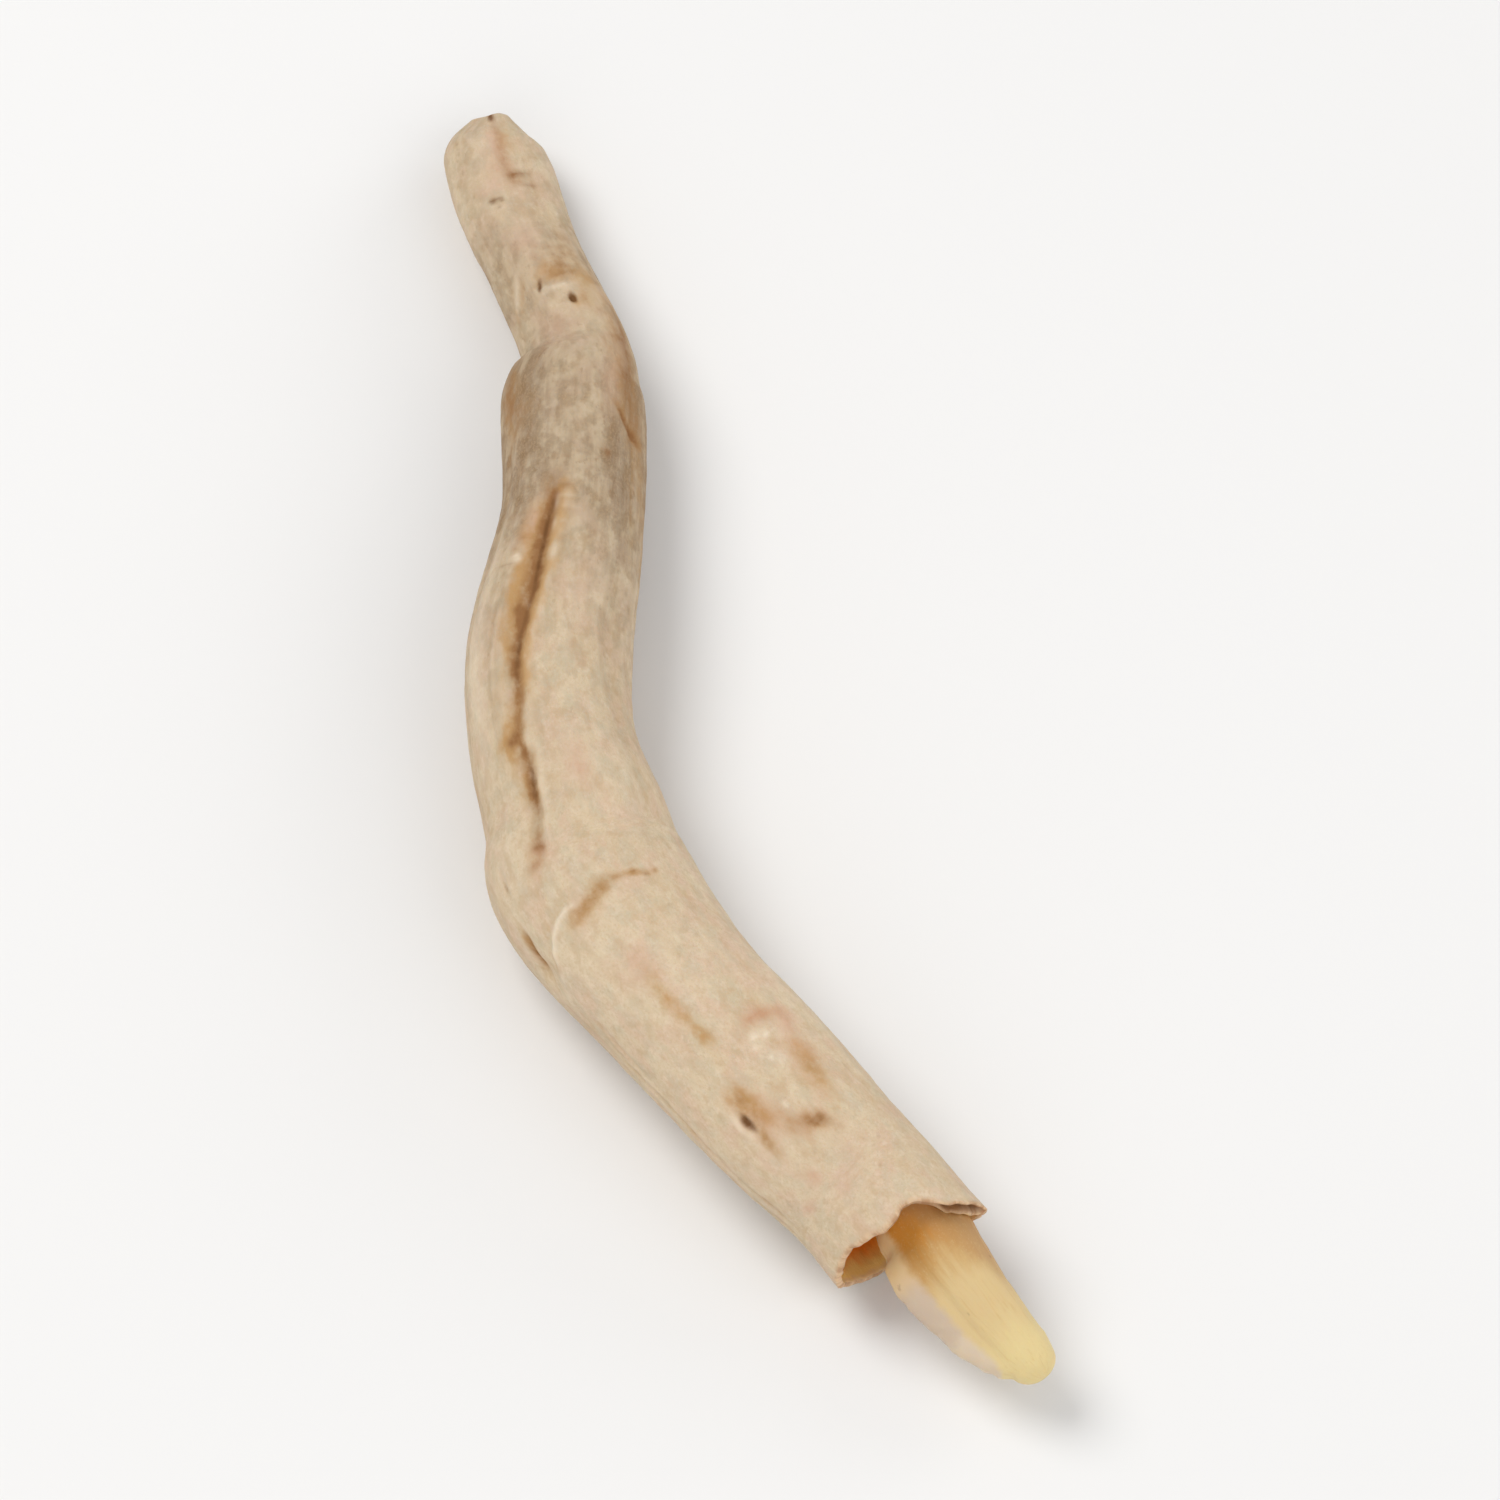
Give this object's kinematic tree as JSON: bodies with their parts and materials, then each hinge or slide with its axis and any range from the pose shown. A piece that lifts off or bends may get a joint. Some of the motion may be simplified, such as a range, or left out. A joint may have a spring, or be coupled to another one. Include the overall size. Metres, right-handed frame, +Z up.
{
  "type": "dried shatavari root",
  "caption": "Dried shatavari root in an S curve: wrinkled cream-tan cortex sleeve with a long fissure, torn open at one end, where the pale yellow woody core comes out.",
  "frame": {"origin": "on the surface the root lies on, under the middle of its bounding box", "axes": "+Z up, +Y towards the cut top end, -Y towards the torn end with the core; +X is the right side as seen from the torn end"},
  "size_m": [0.0237, 0.0567, 0.007],
  "materials": {
    "cortex": "dry matte, cream to tan, with brown in the fissure and stains",
    "core": "waxy pale yellow, orange-brown where it leaves the sleeve"
  },
  "bodies": {
    "root": {"cortex": "cortex", "core": "core"}
  },
  "joints": []
}
